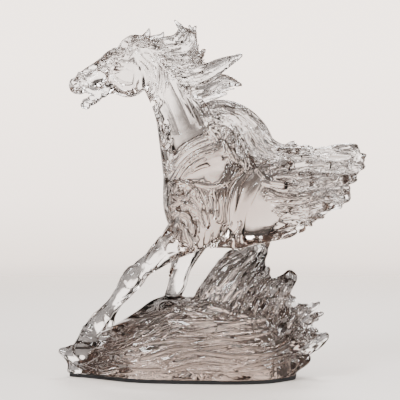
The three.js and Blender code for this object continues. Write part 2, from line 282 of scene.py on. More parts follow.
    def slope(self, places):
        """Unit directions in which the field rises fastest: the normals of the skin."""
        rises = [self.sample(places + step) - self.sample(places - step) for step in 0.8 * np.eye(3)]
        normals = np.stack(rises, axis=1)
        return normals / np.maximum(np.linalg.norm(normals, axis=1, keepdims=True), 1e-6)

    def mesh(self, name):
        """The skin as a mesh object in metres, thinned to TRIANGLES faces, shaded by the field."""
        grid = openvdb.FloatGrid()
        grid.background = FAR
        grid.copyFromArray(np.ascontiguousarray(self.field))
        points, triangles, quads = grid.convertToPolygons(isovalue=0.0, adaptivity=0.0)
        mesh = bpy.data.meshes.new(name)
        mesh.from_pydata(points.tolist(), [], quads.tolist() + triangles.tolist())
        piece = keep_largest_shell(bpy.data.objects.new(name, mesh))
        piece.name = name
        faces = sum(len(face.vertices) - 2 for face in piece.data.polygons)
        thin = piece.modifiers.new("thin", "DECIMATE")
        thin.ratio = min(TRIANGLES / faces, 1.0)
        apply_modifiers(piece)
        mesh = piece.data
        places = np.empty(3 * len(mesh.vertices))
        mesh.vertices.foreach_get("co", places)
        places = places.reshape(-1, 3)
        places -= np.clip(self.sample(places), -0.5, 0.5)[:, None] / VOXEL * self.slope(places)
        normals = self.slope(places)
        mesh.vertices.foreach_set("co", ((places * VOXEL + self.low) * MM).ravel())
        mesh.polygons.foreach_set("use_smooth", [True] * len(mesh.polygons))
        mesh.normals_split_custom_set_from_vertices(normals.tolist())
        mesh.update()
        return piece


def keep_largest_shell(piece):
    """Drops loose crumbs and bubbles, and leaves the one large shell."""
    scene = bpy.context.scene
    scene.collection.objects.link(piece)
    bpy.ops.object.select_all(action="DESELECT")
    piece.select_set(True)
    bpy.context.view_layer.objects.active = piece
    bpy.ops.mesh.separate(type="LOOSE")
    shells = sorted(bpy.context.selected_objects, key=lambda shell: len(shell.data.vertices))
    for crumb in shells[:-1]:
        bpy.data.objects.remove(crumb)
    return shells[-1]


def apply_modifiers(piece):
    """Leaves the piece with its modifiers' result as its own mesh."""
    evaluated = piece.evaluated_get(bpy.context.evaluated_depsgraph_get())
    mesh = bpy.data.meshes.new_from_object(evaluated)
    piece.modifiers.clear()
    piece.data = mesh


def head(cast):
    """Skull, round jowls, open jaw, brows, eyes, nostrils and ears."""
    wide = SKULL_HALF_WIDTH
    cast.limb(
        [
            [-32, 0, 325, 13, wide - 2],
            [-48, 0, 318, 17, wide],
            [-66, 0, 311, 16, wide],
            [-84, 0, 302, 12.5, wide - 3.5],
            [-98, 0, 295, 10, wide - 4.5],
            [-106, 0, 290, 9.5, wide - 4.5],
        ],
        soft=6,
    )
    cast.limb(
        [
            [-66, 0, 291, 9, 9],
            [-76, 0, 288, 6.5, 8],
            [-84, 0, 282, 5.2, 6],
            [-91, 0, 276.5, 4.8, 5],
            [-97.5, 0, 271.5, 4.2, 4.5],
        ],
        soft=3,
    )
    cast.ball([-97, 0, 272.5], [5.5, 5.5, 5], soft=2)
    cast.limb([[-99, 0, 286, 3.5, 5], [-88, 0, 285, 4.5, 6], [-78, 0, 287, 5, 7]], soft=2)
    for side in SIDES:
        cast.ball([-55.5, side * 5, 299], [20, 9.5, 20], soft=4)
        cheek = [[-84, side * 9, 308, 2, 2], [-70, side * 12, 306, 3, 2.5], [-52, side * 12.5, 312, 2, 2]]
        cast.limb(cheek, soft=3)
        nostril = [[-96, side * 5, 296, 3, 3], [-103, side * 7, 297, 4, 3], [-108, side * 6, 293, 3, 3]]
        cast.limb(nostril, soft=2)
        cast.ball([-103.5, side * 9.5, 294.5], [2.8, 3.5, 2.4], soft=1, carve=True)
        cast.ball([-69, side * (wide + 0.5), 316], [6, 4, 4.5], soft=1, carve=True)
        cast.ball([-69, side * (wide - 2.2), 316], [3.8, 3.4, 3.4], soft=0.8)
        brow = [[-58, side * 11, 321, 2.5, 2.5], [-69, side * 12.5, 322, 3, 2.8], [-80, side * 9, 316, 2, 2]]
        cast.limb(brow, soft=2)
        lean = 6 * side + 6
        cast.limb(
            [
                [-40, side * 8, 327, 3.5, 3],
                [-38, side * 10, 335, 5, 3],
                [-35 + lean, side * 11, 341, 3, 2],
                [-34 + lean * 1.1, side * 11, 345.5, 1, 1],
            ],
            soft=1.5,
        )
        hollow = [[-39, side * 13, 332, 1.5, 2], [-36 + 0.7 * lean, side * 13, 340, 1, 2]]
        cast.limb(hollow, soft=1, carve=True)


def lock(cast, path, y, radius, wide=0.8, tip=0.2, bend=0, ridges=9, depth=1.4, soft=1.5, seed=0):
    """A lock of hair along a path of [x, z] points, in strands, full near its root."""
    last = len(path) - 1
    stations = []
    for k, (x, z) in enumerate(path):
        s = k / last
        size = radius * (0.85 + 0.6 * s * (1 - s)) * (1 - (1 - tip) * s * s)
        stations.append([x, y + bend * s * s, z, size, size * wide])
    cast.limb(stations, soft=soft, ridges=ridges, depth=depth, wave=0.8, phase=seed, count=6 * last)


# The guides of the relief are paths of [x, z] points in the side view.
CAPE = [
    [[38, 243], [24, 238], [14, 234], [4, 228], [-4, 219]],
    [[38, 236], [24, 233], [10, 227], [-2, 218], [-10, 206]],
    [[38, 230], [24, 227], [10, 221], [-2, 210], [-12, 194]],
    [[30, 224], [16, 220], [4, 211], [-6, 198], [-14, 180]],
    [[20, 216], [8, 208], [-2, 196], [-12, 176]],
]
CHEST_FOLDS = [
    [[-14, 192], [-4, 193], [6, 190], [12, 185], [16, 176]],
    [[-12, 180], [-4, 178], [4, 179], [10, 186]],
    [[-14, 170], [-2, 173], [8, 170], [16, 162], [20, 150]],
    [[-12, 162], [-2, 164], [6, 159], [10, 148], [8, 136]],
    [[12, 192], [24, 189], [36, 190], [46, 194]],
    [[-2, 154], [4, 144], [8, 133], [4, 124]],
]
CHEST_RIDGES = [
    [[16, 186], [22, 174], [24, 160], [28, 146], [24, 133]],
    [[32, 186], [38, 173], [32, 160], [34, 146], [28, 130]],
    [[68, 216], [54, 206], [46, 194], [40, 180], [38, 160], [44, 140]],
    [[54, 152], [48, 144], [50, 133], [60, 130]],
]
BARREL_SWELLS = [
    [[48, 150], [52, 170], [64, 190], [80, 204]],
    [[6, 204], [18, 214], [32, 219], [46, 218]],
]
CHEST_HOLLOWS = [
    [[12, 176], [18, 163], [22, 150]],
    [[28, 180], [30, 168], [28, 155]],
    [[62, 204], [52, 192], [48, 178], [46, 162], [48, 148]],
    [[-2, 186], [6, 183], [10, 176]],
    [[-8, 171], [0, 168], [4, 160]],
    [[40, 150], [42, 140], [38, 132]],
]
WITHERS_LOCKS = [
    [[22, 246], [32, 248], [42, 245], [48, 238], [46, 226], [40, 220]],
    [[42, 248], [40, 236], [44, 224], [50, 214], [48, 204]],
    [[52, 246], [56, 234], [64, 224], [68, 216], [74, 213]],
    [[62, 248], [70, 236], [78, 226], [90, 219], [104, 217]],
    [[56, 238], [62, 226], [66, 214], [72, 206], [80, 196]],
    [[72, 246], [80, 234], [90, 227], [104, 226]],
    [[48, 250], [54, 240], [54, 228], [60, 218], [62, 206]],
]
CREST_ROOTS = [
    [[0, 288], [6, 278], [16, 266], [24, 252]],
    [[4, 292], [14, 278], [24, 264], [32, 250]],
    [[16, 278], [26, 266], [38, 252]],
]
NECK_GROOVES = [
    [[-20, 310], [-12, 292], [-2, 272], [8, 248]],
    [[-14, 312], [-2, 292], [12, 272], [24, 248]],
    [[-26, 294], [-18, 276], [-10, 258], [-4, 242]],
]
NECK_RIDGES = [
    [[-18, 312], [-6, 292], [4, 272], [16, 248]],
    [[-12, 314], [2, 294], [16, 274], [28, 254]],
]
MANE_TOP = [
    [[-34, 336], [-18, 334], [-6, 337], [-2, 345], [-8, 353]],
    [[-32, 331], [-16, 331], [-2, 335], [4, 344], [0, 349]],
    [[-30, 325], [-14, 325], [2, 330], [8, 340], [8, 348]],
    [[-28, 319], [-10, 319], [4, 322], [12, 331], [12, 341]],
    [[-22, 312], [-6, 312], [8, 314], [16, 319], [18, 323]],
    [[-18, 305], [-2, 303], [12, 305], [20, 309], [24, 311]],
]
MANE_UPPER_TUFT = [
    [[-12, 302], [4, 300], [20, 304], [38, 313], [56, 319]],
    [[-8, 294], [10, 291], [28, 296], [40, 306], [54, 316]],
]
MANE_LOWER_TUFT = [
    [[-4, 288], [12, 285], [28, 292], [40, 299], [56, 291]],
    [[2, 279], [14, 279], [28, 284], [42, 287], [54, 289]],
]
MANE_REAR = [
    [[26, 269], [38, 273], [54, 270], [66, 262], [80, 251], [88, 235], [100, 229], [110, 235], [112, 233]],
    [[26, 264], [40, 266], [56, 260], [70, 249], [80, 236], [90, 226], [102, 222], [112, 226], [114, 226]],
    [[28, 257], [42, 258], [56, 247], [66, 234], [76, 224], [88, 219], [100, 217], [108, 218], [114, 218]],
    [[30, 250], [42, 247], [54, 236], [62, 224], [70, 216], [78, 208], [82, 201], [84, 196], [84, 192]],
    [[30, 244], [40, 237], [46, 228], [52, 218], [56, 212], [60, 206], [62, 201], [62, 198], [64, 195]],
]
FAN = [
    [[78, 226], [106, 223], [142, 225], [174, 227]],
    [[78, 218], [112, 214], [146, 216], [178, 216]],
    [[78, 208], [112, 204], [146, 204], [178, 206]],
    [[78, 198], [112, 192], [144, 194], [168, 194]],
    [[78, 186], [108, 182], [136, 184], [160, 182]],
    [[74, 174], [104, 171], [132, 174], [156, 176]],
    [[72, 164], [100, 163], [124, 166], [144, 170]],
    [[70, 154], [96, 156], [118, 157], [136, 159]],
    [[68, 144], [88, 146], [106, 151], [120, 151]],
    [[66, 136], [78, 137], [92, 138], [106, 144]],
]
FACE_RIDGES = [
    [[-86, 310], [-78, 311], [-68, 309], [-60, 306]],
    [[-78, 317], [-74, 322], [-68, 324], [-62, 321], [-60, 317]],
    [[-76, 315], [-70, 312], [-64, 313], [-60, 316]],
    [[-98, 298], [-100, 302], [-104, 302], [-106, 298], [-104, 293], [-100, 293]],
    [[-104, 288], [-98, 290], [-92, 290], [-86, 288]],
    [[-80, 321], [-72, 324], [-66, 326]],
]
FORELOCK_LINES = [
    [[-62, 324], [-58, 334], [-48, 339], [-38, 337]],
    [[-58, 322], [-54, 331], [-46, 335], [-36, 333]],
    [[-54, 320], [-48, 327], [-42, 330], [-34, 329]],
]
THROAT_ARCS = [
    [[-38, 321], [-26, 311], [-22, 296], [-26, 281], [-34, 273]],
    [[-42, 318], [-32, 308], [-30, 296], [-32, 284], [-38, 277]],
    [[-34, 326], [-20, 312], [-16, 294], [-18, 277]],
    [[-44, 314], [-36, 305], [-34, 295], [-38, 285]],
    [[-74, 306], [-68, 297], [-58, 291], [-46, 292]],
]
FACE_GROOVES = [
    [[-107, 294], [-99, 301], [-89, 307], [-79, 312]],
    [[-96, 299], [-88, 303], [-82, 305]],
    [[-96, 304], [-88, 307], [-80, 310]],
    [[-40, 279], [-32, 286], [-26, 296], [-26, 308], [-30, 318]],
    [[-90, 286], [-84, 287], [-78, 284]],
    [[-48, 304], [-48, 296], [-50, 286]],
    [[-58, 320], [-50, 326], [-44, 330]],
]
LEG_GROOVES = [
    [[-8, 124], [-20, 118], [-32, 112], [-42, 106]],
    [[-40, 97], [-50, 86], [-62, 77], [-72, 70]],
    [[-34, 114], [-40, 110], [-42, 102], [-40, 95]],
    [[-62, 100], [-56, 92], [-48, 89]],
    [[-76, 68], [-78, 60], [-74, 53]],
    [[-86, 65], [-90, 56], [-86, 46]],
    [[-106, 46], [-98, 48], [-90, 46]],
]
LEG_RIDGES = [
    [[-60, 101], [-56, 109], [-46, 111], [-40, 105]],
    [[-18, 150], [-24, 140], [-32, 129], [-38, 120]],
    [[-4, 130], [-16, 124], [-26, 114], [-34, 104]],
    [[12, 136], [0, 126], [-12, 118]],
    [[-80, 66], [-74, 62], [-70, 54]],
    [[-106, 49], [-98, 51], [-90, 48]],
    [[-108, 40], [-100, 41], [-90, 39]],
    [[-110, 33], [-100, 34], [-88, 32]],
]
FAR_LEG_RIDGES = [
    [[-4, 120], [-10, 110], [-14, 100], [-12, 92]],
    [[8, 118], [4, 106], [0, 94], [-4, 84]],
]
# How far the fan's outer streaks draw in to the middle plane, and the path of its rim.
FAN_TAPER = 0.75
FAN_RIM = [[138, 224], [156, 226], [170, 225], [176, 218], [173, 207], [164, 197], [154, 188]]


def strands(cast, guides, number, spread, radius, seed, short=0.1, start=0.0, soft=1.0, flat=0.0, thin=0.55):
    """Combs thin strands between neighbouring guides. They start within spread[0] of the
    middle plane, end within spread[1] of it, and stop one after another. flat draws the
    outer guides in to the middle plane, so that the bundle is a lens in section."""
    guides = np.array(guides, float)
    gaps, last = len(guides) - 1, guides.shape[1] - 1
    for k in range(number):
        place = min((k + vary(seed + k)) / number * gaps, gaps - 1e-6)
        i = int(place)
        guide = guides[i] + (guides[i + 1] - guides[i]) * (place - i)
        begin = start * vary(seed + k + 0.4)
        end = 1 - short * vary(seed + k + 0.6)
        side = 2 * vary(seed + k + 0.3) - 1
        side = math.copysign(abs(side) ** 0.6, side) * math.sqrt(1 - flat * (2 * place / gaps - 1) ** 2)
        thick = radius * (0.7 + 0.6 * vary(seed + k + 0.8))
        stations = []
        for j in range(last + 1):
            s = begin + (end - begin) * j / last
            x, z = (np.interp(s * last, np.arange(last + 1), guide[:, axis]) for axis in (0, 1))
            lift = 1.4 * math.sin(5 * s + 6 * vary(seed + k + 0.2))
            size = thick * (1 - thin * (j / last) ** 2)
            stations.append([x, side * (spread[0] + (spread[1] - spread[0]) * s), z + lift, size, size])
        cast.limb(stations, soft=soft, count=5 * last)


def comb(cast, guides, number, radius, seed, sway=0.0, out=0.3):
    """Raises thin ribs between neighbouring guides, on the skin of both sides."""
    guides = np.array(guides, float)
    gaps, last = len(guides) - 1, guides.shape[1] - 1
    for k in range(number):
        place = (k + vary(seed + k)) / number * gaps
        i = min(int(place), gaps - 1)
        guide = guides[i] + (guides[i + 1] - guides[i]) * (place - i)
        begin = 0.5 * last * vary(seed + k + 0.4)
        steps = np.linspace(begin, min(begin + last * (0.35 + 0.4 * vary(seed + k + 0.6)), last), last + 2)
        xs, zs = (np.interp(steps, np.arange(last + 1), guide[:, axis]) for axis in (0, 1))
        zs = zs + sway * np.sin(2.2 * steps + 6 * vary(seed + k + 0.2))
        side = SIDES[k % 2]
        size = radius * (0.6 + 0.7 * vary(seed + k + 0.8))
        cast.trace(list(zip(xs, zs)), size, sides=(side,), out=out, soft=0.6)


# The locks of the mane: a path in the side view, the root's distance from the middle plane,
# how far the lock bends away from there, and its radius.
MANE = [
    dict(path=[[-36, 331], [-19, 334], [-8, 337], [-2, 346], [-8, 355]], radius=5.5, y=0, tip=0.35),
    dict(path=[[-34, 325], [-12, 325], [4, 330], [9, 342], [6, 351]], radius=8, y=3, bend=3),
    dict(path=[[-26, 317], [-4, 314], [12, 317], [21, 325]], radius=9.5, y=-3, bend=-5),
    dict(path=[[-22, 312], [-4, 322], [8, 333], [12, 349]], radius=7, y=-4, bend=-4),
    dict(path=[[-14, 300], [8, 304], [25, 313]], radius=8, y=6, bend=6),
    dict(path=[[-10, 290], [14, 298], [37, 311], [58, 321]], radius=11, y=0, bend=3),
    dict(path=[[-4, 282], [20, 286], [40, 295], [57, 290]], radius=9.5, y=-4, bend=-5),
    dict(path=[[6, 272], [26, 280], [44, 284]], radius=6.5, y=7, bend=8),
    dict(
        path=[[12, 261], [38, 266], [58, 260], [74, 247], [86, 229], [98, 224], [112, 231]],
        radius=11,
        y=0,
        wide=1.1,
    ),
    dict(path=[[22, 252], [46, 252], [64, 238], [80, 222], [100, 216]], radius=11, y=-9, bend=-8),
    dict(path=[[22, 252], [46, 256], [66, 244], [84, 228], [102, 222]], radius=10.5, y=10, bend=10),
    dict(path=[[28, 244], [44, 238], [56, 220], [66, 206], [72, 192]], radius=9, y=-18, bend=-14),
    dict(path=[[28, 244], [44, 238], [58, 220], [72, 206]], radius=9, y=18, bend=12),
    dict(path=[[26, 242], [36, 228], [44, 212], [42, 196]], radius=6.5, y=-22, bend=-12),
]


def mane(cast):
    """Locks blown back from the crest, combed over with strands."""
    for seed, shape in enumerate(MANE):
        lock(cast, ridges=9 + seed % 3 * 2, seed=seed, **shape)
    strands(cast, MANE_TOP, 120, (14, 5), 1.5, seed=100, short=0.3, start=0.35, soft=0.6)
    strands(cast, MANE_UPPER_TUFT, 44, (14, 5), 1.5, seed=230, short=0.35, start=0.35, soft=0.6)
    strands(cast, MANE_LOWER_TUFT, 44, (14, 5), 1.5, seed=280, short=0.35, start=0.35, soft=0.6)
    strands(cast, MANE_REAR, 130, (22, 9), 1.7, seed=330, short=0.35, start=0.35, soft=0.6)
    for path in WITHERS_LOCKS:
        cast.trace(path, 2.6, out=0.4)
    for path in CREST_ROOTS:
        cast.trace(path, 1.6, out=0.4)


def forelock(cast):
    """Curls that roll forward over the brow."""
    cast.ball([-53, 0, 330], [10.5, 9, 8], soft=3)
    for k, y in enumerate((-8, -3, 3, 8)):
        drop = 1.5 * abs(y) / 3
        curl = [[-37, 333], [-46, 337 - drop], [-55, 336 - drop], [-61, 330 - drop]]
        curl.append([-62 + 3 * (k % 2), 323])
        lock(cast, curl, y, 5.2, wide=0.6, tip=0.5, ridges=5, depth=1.0, soft=0.8)
    for path in FORELOCK_LINES:
        cast.trace(path, 2.0, out=0.5, soft=0.3)
    comb(cast, FORELOCK_LINES, 20, 1.5, seed=420, sway=0.6, out=0.5)


def neck(cast):
    """It widens down into the chest."""
    cast.limb(
        [
            [-36, 0, 314, 16, 11],
            [-22, 0, 292, 18.5, 12.5],
            [-8, 0, 268, 22.5, 15],
            [5, 0, 241, 31, 21],
            [16, 0, 211, 38, 27],
            [24, 0, 182, 42, CHEST_HALF_WIDTH],
        ],
        soft=8,
    )


def throat_beads(cast):
    """Small dimples scattered down the front of the neck."""
    for k in range(54):
        z = 278 - 82 * vary(k + 0.1)
        front = np.interp(z, [198, 226, 246, 276], [-22, -23, -25, -36])
        x = front + 2.5 + 10 * vary(k + 0.5)
        size = 1.1 + 1.2 * vary(k)
        for side in SIDES:
            y = cast.skin(x, z, side) or 0
            cast.ball([x, y, z], [size, size, 1.7 * size], soft=1, carve=True)


def swells(cast):
    """The broad forms of the flank and the chest."""
    for path in BARREL_SWELLS:
        cast.trace(path, 8, out=-0.45, soft=7)
    for path in CHEST_RIDGES:
        cast.trace(path, 6.5, out=0.15, soft=2)
    for path in CHEST_HOLLOWS:
        cast.trace(path, 6, out=0.25, carve=True, sides=(-1,), soft=2)


def folds(cast):
    """Strands swept back over the shoulder, long ridges and grooves down the neck, and the
    folds of the chest."""
    for path in CAPE:
        cast.trace(path, 2.4, out=0.3, soft=0.8)
    for path in NECK_RIDGES:
        cast.trace(path, 2.6, out=-0.2, soft=1.5)
    for path in NECK_GROOVES:
        cast.trace(path, 2.8, out=0.35, carve=True, soft=1.5)
    for path in CHEST_FOLDS:
        cast.trace(path, 3.0, out=0.35, soft=0.8)
    cast.grain([-30, -60, 122], [40, -6, 196], (0.3, 1), 18, 10, 1.0, snake=6)


def leg_details(cast):
    """Tendons, the knee's edges and the rings of the hoof, with a grain down both legs."""
    for path in LEG_GROOVES:
        cast.trace(path, 1.3, carve=True, sides=(-1,))
    for path in LEG_RIDGES + FAR_LEG_RIDGES:
        cast.trace(path, 1.3, sides=(-1,), out=0.2)
    cast.grain([-112, -40, 28], [0, 34, 150], (0.55, 0.8), 28, 6, 1.1, snake=4)


def face_details(cast):
    """The lines of the face and throat, with a swirling grain on muzzle and brow."""
    for path in FACE_RIDGES:
        cast.trace(path, 1.3, out=0.2, soft=1)
    for path in THROAT_ARCS:
        cast.trace(path, 1.5, out=0.3, soft=0.6)
    for path in FACE_GROOVES:
        cast.trace(path, 1.4, carve=True, soft=1)
    cast.grain([-112, -20, 262], [-74, 20, 314], (1, 0.5), 7, 4.5, 1.1, snake=5, fade=4)
    cast.grain([-84, -20, 304], [-42, 20, 350], (1, 0.6), 9, 5, 1.2, snake=5, fade=5)


def barrel(cast):
    """Full behind the shoulder, flattening backwards into a ragged fan."""
    wide = BARREL_HALF_WIDTH
    cast.limb(
        [
            [10, 0, 175, 42, CHEST_HALF_WIDTH],
            [32, 0, 174, 46, wide - 1],
            [62, 0, 173, 44, wide],
            [87, 0, 177, 40, wide - 5],
            [107, 0, 184, 34, wide - 14],
            [127, 0, 190, 27, wide - 23],
            [147, 0, 199, 18, wide - 29],
            [160, 0, 208, 10, wide - 32],
        ],
        soft=8,
        count=24,
    )


def fan(cast):
    """The hindquarters break into streaks that stop one after another, in a blunt rim."""
    style = dict(flat=FAN_TAPER, soft=0.3)
    strands(cast, FAN, 64, (32, 13), 5.6, seed=500, short=0.2, start=0.3, thin=0.15, **style)
    strands(cast, FAN, 70, (35, 17), 3.0, seed=700, short=0.3, start=0.4, **style)
    cast.grain([84, -50, 130], [188, 50, 236], (1, 0.2), 32, 5.5, 2.9, snake=5)
    for y in (-7, 0, 7):
        rim = [[x - 0.4 * abs(y), y, z, 5, 4.4] for x, z in FAN_RIM]
        cast.limb(rim, soft=5, ridges=7, depth=1.0, wave=1.0, phase=y)
    cast.grain([120, -40, 176], [190, 40, 236], (1, 0.15), 24, 6, 2.0, snake=5, fade=5)
    comb(cast, FAN[:7], 18, 3.2, seed=764, sway=1, out=0.3)


def shoulders(cast):
    """Shoulder blade, upper arm and breast on each side."""
    for side in SIDES:
        cast.limb(
            [
                [38, side * (SHOULDER_Y - 5), 226, 13, 10],
                [20, side * (SHOULDER_Y - 1), 202, 19, 13],
                [3, side * SHOULDER_Y, 174, 20, 14],
            ],
            soft=7,
        )
        cast.limb([[2, side * SHOULDER_Y, 172, 18, 14], [20, side * (SHOULDER_Y + 1), 146, 15, 12]], soft=6)
        cast.ball([-3, side * 12, 172], [13.5, 15, 22], soft=5)


def near_foreleg(cast):
    """It reaches forward and down to the hoof on the wave."""
    knee, hoof = NEAR_KNEE_Y, NEAR_HOOF_Y
    cast.limb(
        [
            [12, -22, 148, 23, 16],
            [-9, -22, 134, 16.5, 14],
            [-28, -20, 118, 11.5, 10],
            [-40, knee - 1, 108, 10, 9],
            [-50.5, knee, 98, 12, 10.5],
            [-58.5, knee + 2, 87, 9.5, 8.5],
            [-68.5, hoof - 5, 73, 7.8, 7],
            [-80.5, hoof - 2, 59, 10.5, 9],
            [-89.5, hoof - 1, 49, 9.5, 8],
            [-93, hoof, 45, 9.5, 8.5],
        ],
        soft=5,
    )
    cast.limb([[-94, hoof, 44, 9.5, 9], [-97, hoof, 31, 12, 11], [-98, hoof, 28, 13, 12]], soft=1)
    cast.limb([[-73, hoof - 2, 56, 5, 5], [-69, hoof - 2, 47, 1.5, 1.5]], soft=2)


def far_foreleg(cast):
    """It goes down into the wave behind its crest."""
    y = FAR_LEG_Y
    cast.limb(
        [
            [14, y, 146, 19, 14],
            [4, y, 123, 13, 12],
            [-3, y - 1, 107, 10.5, 10],
            [-7, y - 2, 91, 10, 9],
            [-12, y - 4, 76, 8, 8],
            [-15, y - 6, 60, 8, 8],
        ],
        soft=5,
    )


# Half reach of the foot to each side of the middle, along X, and the mound's half
# height and middle height there.
MOUND = [
    [-113, 4, 15, 15],
    [-98, 11, 17, 14],
    [-82, 21, 20, 15],
    [-62, 35, 33, 15],
    [-36, 47, 46, 16],
    [4, 52, 54, 16],
    [42, 55, 56, 16],
    [68, 53, 50, 16],
    [84, 48, 44, 16],
    [98, 37, 32, 15],
    [108, 26, 17, 13],
]


def wave(cast):
    """The mound of the wave, the crest over it and the lip at its front."""
    mound = []
    for x, half, tall, z in MOUND:
        mound.append([x, 0, z, tall, half / math.sqrt(1 - ((z - FOOT_Z) / tall) ** 2)])
    cast.limb(mound, soft=4, end=0.35, count=40)
    cast.limb(
        [
            [-90, -2, 30, 7, 11],
            [-66, 2, 41, 11, 15],
            [-42, 8, 52, 12, 18],
            [-20, 12, 66, 12, 15],
            [-8, 14, 70, 10, 12],
            [14, 8, 60, 15, 18],
        ],
        soft=3,
    )
    cast.limb([[-108, 0, 20, 10, 10], [-121, 0, 25, 4, 5]], soft=3)


WAVE_FLOW = [
    [[-102, 26], [-72, 39], [-42, 52], [-12, 68], [18, 72], [48, 66], [78, 64]],
    [[-110, 21], [-78, 28], [-44, 40], [-8, 53], [26, 57], [62, 54], [96, 58]],
    [[-118, 14], [-84, 17], [-44, 26], [-4, 38], [36, 41], [78, 39], [112, 46]],
    [[-110, 8], [-76, 10], [-34, 15], [6, 24], [46, 27], [92, 29], [124, 36]],
    [[-92, 3], [-52, 3], [-8, 7], [32, 11], [72, 14], [106, 19], [128, 26]],
]
WAVE_DIMPLES = [[-17, 19], [0, 12], [20, 19], [31, 9], [58, 22]]
SPLASH_FLOW = [
    [[12, 74], [22, 91], [36, 108], [56, 122]],
    [[22, 66], [34, 86], [50, 106], [72, 124]],
    [[36, 58], [48, 78], [62, 100], [80, 120]],
    [[54, 54], [64, 74], [74, 92], [84, 110]],
    [[68, 50], [78, 70], [90, 86], [102, 101]],
    [[84, 46], [94, 64], [104, 82], [110, 99]],
    [[100, 42], [110, 58], [120, 70], [134, 76]],
    [[108, 32], [120, 44], [130, 54], [136, 63]],
    [[116, 22], [126, 30], [134, 38], [140, 44]],
]
# The plumes of splash: [x, y, z, radius] at the root, half way and at the tip, and how wide
# they are for their height.
PLUMES = [
    dict(root=[42, 2, 46, 40], by=[50, 0, 90, 29], to=[79, -2, 140, 9], wide=0.85, soft=12),
    dict(root=[56, 0, 60, 20], by=[70, 0, 90, 14], to=[83, 0, 106, 5], wide=0.8),
    dict(root=[62, -8, 46, 30], by=[89, -9, 81, 15], to=[106, -12, 100, 7], wide=0.95, soft=10),
    dict(root=[74, 12, 40, 22], by=[98, 16, 66, 10], to=[107, 18, 78, 4.5], wide=0.9),
    dict(root=[80, -16, 36, 20], by=[104, -18, 60, 10], to=[121, -19, 70, 4.5], wide=0.9),
    dict(root=[88, 8, 36, 18], by=[118, 8, 60, 7], to=[136, 8, 72, 2.5], wide=0.9),
    dict(root=[88, -6, 32, 18], by=[118, -8, 54, 7], to=[137, -9, 64, 1.5], wide=0.9),
    dict(root=[92, -20, 26, 17], by=[112, -24, 40, 10], to=[127, -26, 48, 4], wide=0.8),
    dict(root=[98, 2, 20, 15], by=[124, 2, 30, 9.5], to=[141, 2, 39, 5], wide=0.9),
    dict(root=[96, -16, 14, 12], by=[114, -18, 18, 8], to=[122, -18, 21, 4], wide=0.9),
    dict(root=[52, 26, 40, 20], by=[66, 32, 66, 12], to=[84, 35, 86, 4], wide=0.8),
    dict(root=[86, 26, 28, 18], by=[106, 30, 42, 10], to=[124, 32, 52, 4], wide=0.8),
]


def splash(cast):
    """Plumes of water thrown up and back behind the crest."""
    for seed, plume in enumerate(PLUMES):
        stations = []
        for x, y, z, size in (plume["root"], plume["by"], plume["to"]):
            stations.append([x, y, z, size, size * plume["wide"]])
        cast.limb(stations, soft=plume.get("soft", 4), ridges=7, depth=0.8, wave=1.4, phase=seed, count=12)


def water_relief(cast):
    """Flow lines along the wave and the splash, and dimples low on the wave's sides."""
    cast.grain([-124, -62, -8], [96, 62, 84], (1, 0.15), 26, 9, 1.5, snake=9)
    cast.grain([8, -62, 6], [160, 62, 150], (0.6, 0.8), 15, 5, 1.0, snake=5)
    comb(cast, WAVE_FLOW, 34, 3.2, seed=900, sway=3)
    comb(cast, SPLASH_FLOW, 80, 2.0, seed=950, sway=1.5)
    for x, z in WAVE_DIMPLES:
        for side in SIDES:
            cast.ball([x, cast.skin(x, z, side), z], [4.2, 3.2, 3], soft=0.8, carve=True)


def build_casting():
    """The whole glass figure, cast in one."""
    water = Casting(*SPACE)
    wave(water)
    splash(water)
    water_relief(water)
    cast = Casting(*SPACE)
    barrel(cast)
    neck(cast)
    shoulders(cast)
    near_foreleg(cast)
    far_foreleg(cast)
    cast.melt(4)
    swells(cast)
    cast.melt(4)
    leg_details(cast)
    folds(cast)
    throat_beads(cast)
    head(cast)
    face_details(cast)
    fan(cast)
    mane(cast)
    forelock(cast)
    cast.blend(Ellipsis, water.field, 2, False)
    cast.cut_below(FOOT_Z)
    return cast.mesh("crystal_horse")


def add_node(tree, kind, **values):
    """A new node with some of its properties set."""
    node = tree.nodes.new(kind)
    for key, value in values.items():
        setattr(node, key, value)
    return node


def noise_texture(tree, scale, detail=2):
    """The value of a noise that lies in the object's own space, in metres."""
    place = add_node(tree, "ShaderNodeTexCoord")
    grains = add_node(tree, "ShaderNodeTexNoise")
    grains.inputs["Scale"].default_value = scale
    grains.inputs["Detail"].default_value = detail
    tree.links.new(place.outputs["Object"], grains.inputs["Vector"])
    return grains.outputs["Fac"]


def bump_surface(tree, height, strength, distance):
    """Lets a height bump the shader's surface."""
    bump = add_node(tree, "ShaderNodeBump")
    bump.inputs["Strength"].default_value = strength
    bump.inputs["Distance"].default_value = distance
    tree.links.new(height, bump.inputs["Height"])
    tree.links.new(bump.outputs["Normal"], tree.nodes["Principled BSDF"].inputs["Normal"])


def crystal_material():
    """Clear cast glass, faintly warm grey where it is thick, with a fire-polished ripple."""
    material = bpy.data.materials.new("crystal")
    material.use_nodes = True
    tree = material.node_tree
    shader = tree.nodes["Principled BSDF"]
    shader.inputs["Base Color"].default_value = (1, 1, 1, 1)
    shader.inputs["Transmission Weight"].default_value = 1.0
    shader.inputs["IOR"].default_value = GLASS_IOR
    ripple = noise_texture(tree, scale=130)
    bump_surface(tree, ripple, strength=0.12, distance=0.001)
    level = add_node(tree, "ShaderNodeMapRange")
    level.inputs["To Min"].default_value = 0.0
    level.inputs["To Max"].default_value = 0.06
    tree.links.new(noise_texture(tree, scale=40), level.inputs["Value"])
    tree.links.new(level.outputs["Result"], shader.inputs["Roughness"])
    tint = add_node(tree, "ShaderNodeVolumeAbsorption")
    tint.inputs["Color"].default_value = GLASS_TINT
    tint.inputs["Density"].default_value = GLASS_DENSITY
    tree.links.new(tint.outputs["Volume"], tree.nodes["Material Output"].inputs["Volume"])
    return material


